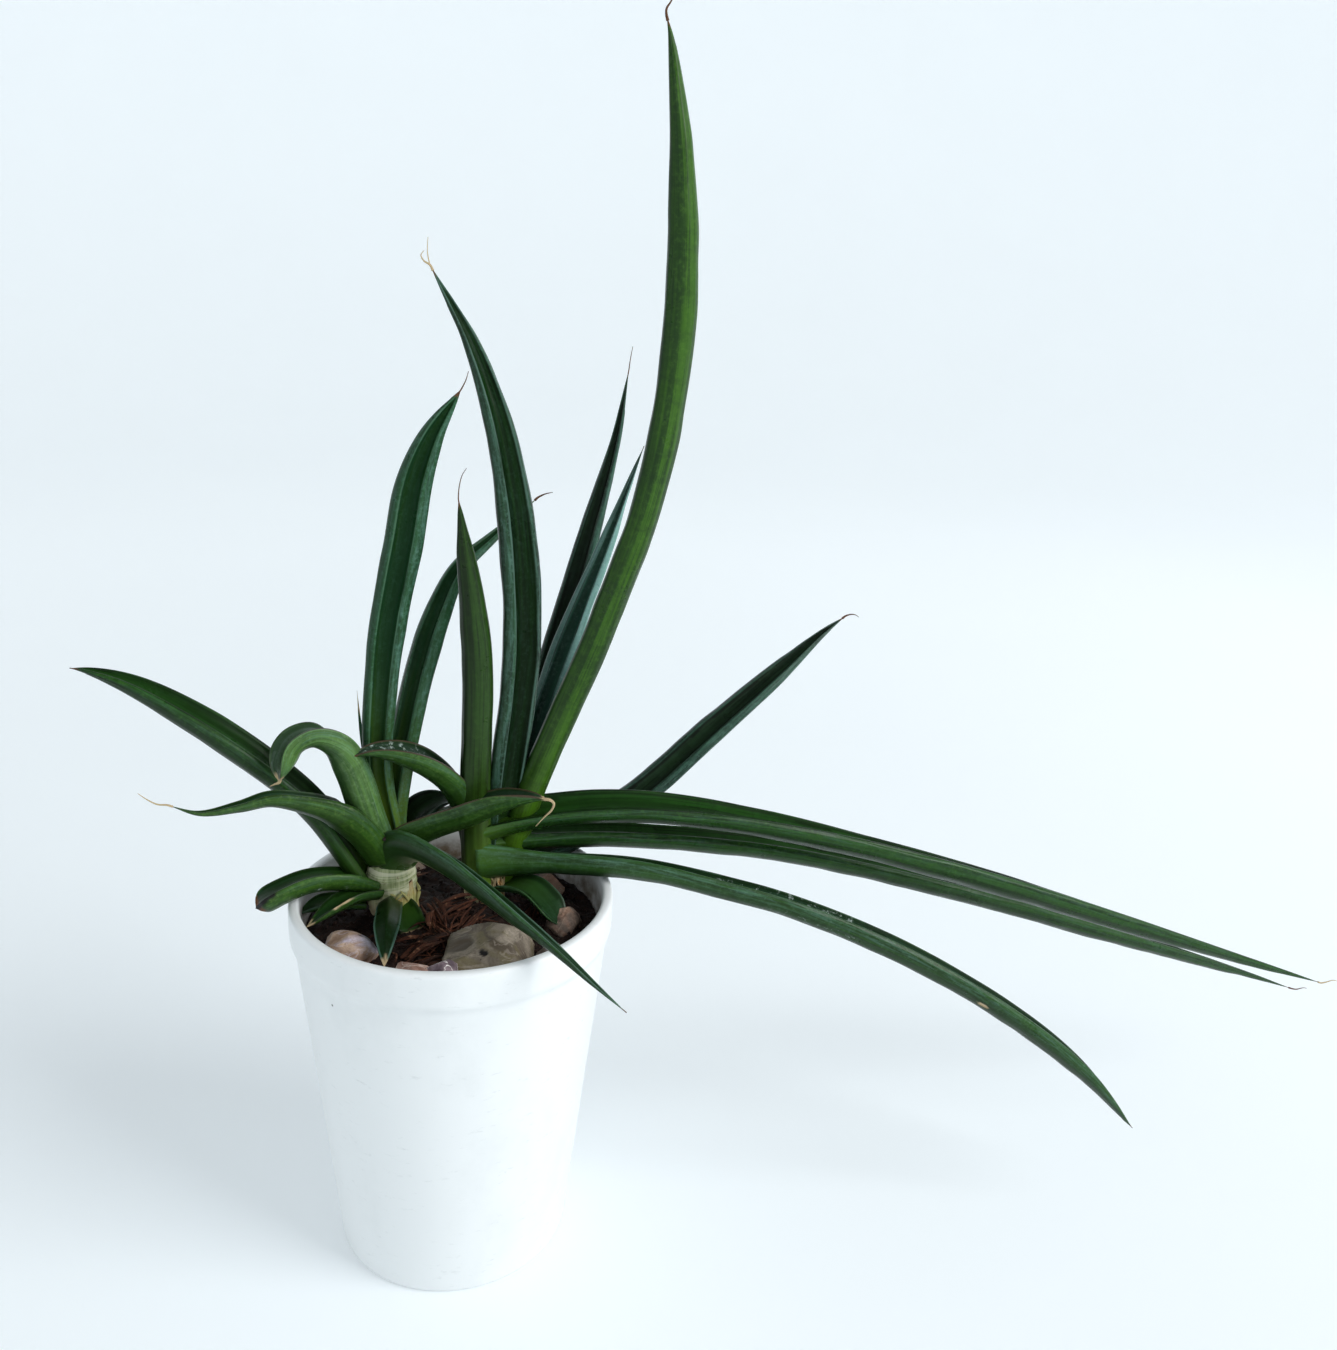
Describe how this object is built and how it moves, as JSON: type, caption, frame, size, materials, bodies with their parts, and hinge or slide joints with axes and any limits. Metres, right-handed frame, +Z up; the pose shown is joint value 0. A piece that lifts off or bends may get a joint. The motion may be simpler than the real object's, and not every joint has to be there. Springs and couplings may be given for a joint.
{
  "type": "potted snake plant",
  "caption": "Small succulent plant with thick channelled leaves, some upright and some arching far over the rim, in a white tapered pot with potting mix, pebbles and bark.",
  "frame": {"origin": "centre of the pot's flat underside, on the surface it stands on", "axes": "+Z up; +X along the side where the two longest leaves arch out; +Y away from the leaf that droops over the rim"},
  "size_m": [0.5671, 0.1744, 0.4628],
  "materials": {
    "pot": "satin",
    "soil": "matte",
    "leaf_green": "satin",
    "leaf_dark": "satin",
    "leaf_blue_green": "satin",
    "crown": "satin",
    "sheath": "matte",
    "bark": "matte",
    "stone_olive": "matte",
    "stone_pale": "matte",
    "stone_brown": "matte"
  },
  "bodies": {
    "root": {"pot": "pot", "crown_left": "crown", "crown_right": "crown", "leaf_right_tall": "leaf_green", "leaf_right_short": "leaf_green", "leaf_right_striped": "leaf_blue_green", "leaf_right_pale": "leaf_blue_green", "leaf_right_dark": "leaf_dark", "leaf_right_bent": "leaf_dark", "leaf_right_long_upper": "leaf_dark", "leaf_right_long_lower": "leaf_green", "leaf_right_sweeping": "leaf_green", "leaf_right_back": "leaf_dark", "leaf_right_broken": "leaf_blue_green", "leaf_left_upright": "leaf_green", "leaf_left_leaning": "leaf_dark", "leaf_left_spike": "leaf_dark", "leaf_left_far": "leaf_dark", "leaf_left_folded": "leaf_blue_green", "leaf_left_curled": "leaf_green", "leaf_left_dry_edged": "leaf_green", "leaf_left_lobe": "leaf_dark", "leaf_left_over_rim": "leaf_blue_green", "leaf_left_blunt": "leaf_green", "leaf_left_low": "leaf_green", "leaf_left_under": "leaf_blue_green", "leaf_left_drooping": "leaf_green", "leaf_left_stub": "leaf_green", "sheath_left": "sheath", "sheath_right": "sheath", "sheath_right_strip": "sheath", "stone_olive": "stone_olive", "stone_veined": "stone_pale", "stone_pink": "stone_pale", "stone_beige": "stone_pale", "stone_streaked": "stone_pale", "stone_knobbly": "stone_brown", "stone_back_left": "stone_olive", "stone_back": "stone_pale", "stone_back_right": "stone_brown", "bark_1": "bark", "bark_2": "bark", "bark_3": "bark", "bark_4": "bark", "bark_5": "bark", "bark_6": "bark", "bark_7": "bark", "bark_8": "bark", "potting_mix": "soil"}
  },
  "joints": []
}
